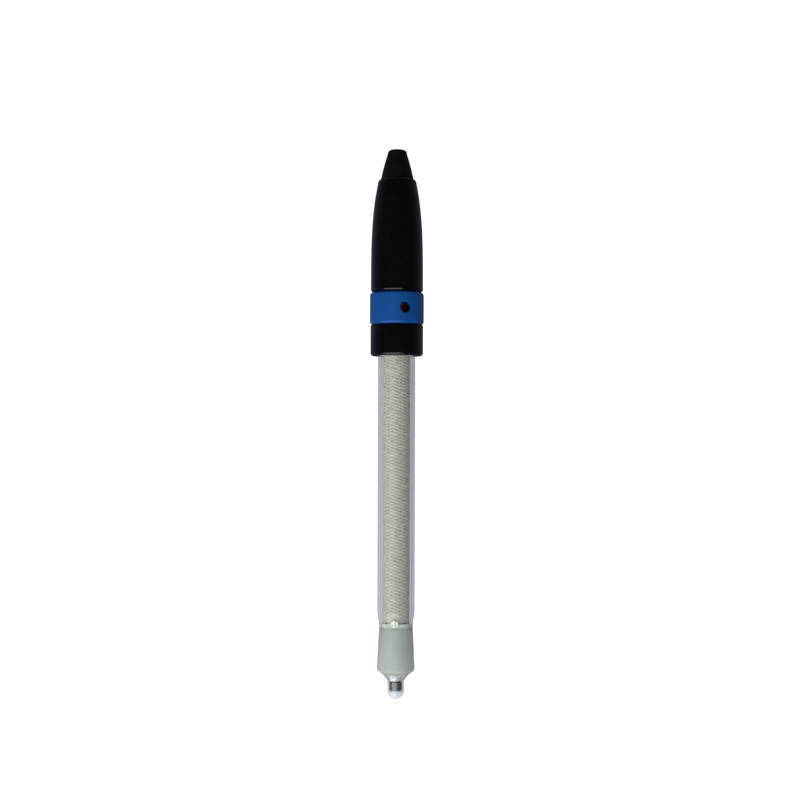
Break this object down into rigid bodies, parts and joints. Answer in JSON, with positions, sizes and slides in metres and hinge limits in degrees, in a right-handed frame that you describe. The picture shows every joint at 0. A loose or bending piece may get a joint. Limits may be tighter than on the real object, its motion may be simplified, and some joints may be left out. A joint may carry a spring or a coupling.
{
  "type": "water quality probe",
  "caption": "Slim glass probe with a black bullet-shaped head, a blue refill ring, a woven core, a frosted slide-off sleeve and a small round tip.",
  "frame": {"origin": "on the axis at the collar's lower face, where the glass stem leaves the head", "axes": "+Z along the probe towards the cable end, so the tip points down; -Y is the front, and the refill hole is 18.9 degrees to the right of it"},
  "size_m": [0.0174, 0.0174, 0.1777],
  "materials": {
    "boot_rubber": "matt, slightly worn",
    "black_gloss": "gloss",
    "blue_ring": "satin",
    "seal_rubber": "matt",
    "clear_glass": "clear",
    "tip_glass": "clear",
    "frosted_glass": "ground",
    "woven_core": "woven",
    "white_ceramic": "porous",
    "dark_metal": "satin",
    "white_packing": "fibrous",
    "silver_wire": "drawn",
    "pin_brass": "turned",
    "cream_plastic": "moulded",
    "white_plastic": "turned",
    "stopper_rubber": "matt",
    "potting_resin": "cast"
  },
  "bodies": {
    "probe_body": {"cable_boot": "boot_rubber", "cap_shell": "black_gloss", "terminal_disc": "cream_plastic", "signal_pin": "pin_brass", "reference_pin": "pin_brass", "potting_plug": "potting_resin", "tube_stopper": "stopper_rubber", "head_body": "black_gloss", "upper_o_ring": "seal_rubber", "lower_o_ring": "seal_rubber", "stem_gasket": "seal_rubber", "stem_tube": "clear_glass", "inner_tube": "clear_glass", "braided_sleeve": "woven_core", "upper_spacer": "white_plastic", "lower_spacer": "white_plastic", "signal_wire": "silver_wire", "reference_wire": "silver_wire", "junction_frit": "white_ceramic", "sensing_tip": "tip_glass", "sensing_element": "dark_metal", "tip_packing": "white_packing"},
    "ring": {"filler_ring": "blue_ring"},
    "sleeve": {"ground_sleeve": "frosted_glass"}
  },
  "joints": [
    {"name": "ring_turn", "type": "hinge", "parent": "probe_body", "child": "ring", "pos_m": [0, 0, 0.01535], "axis": [0, 0, 1], "continuous": true},
    {"name": "sleeve_slide", "type": "slide", "parent": "probe_body", "child": "sleeve", "axis": [0, 0, -1], "range_m": [0, 0.024]}
  ]
}
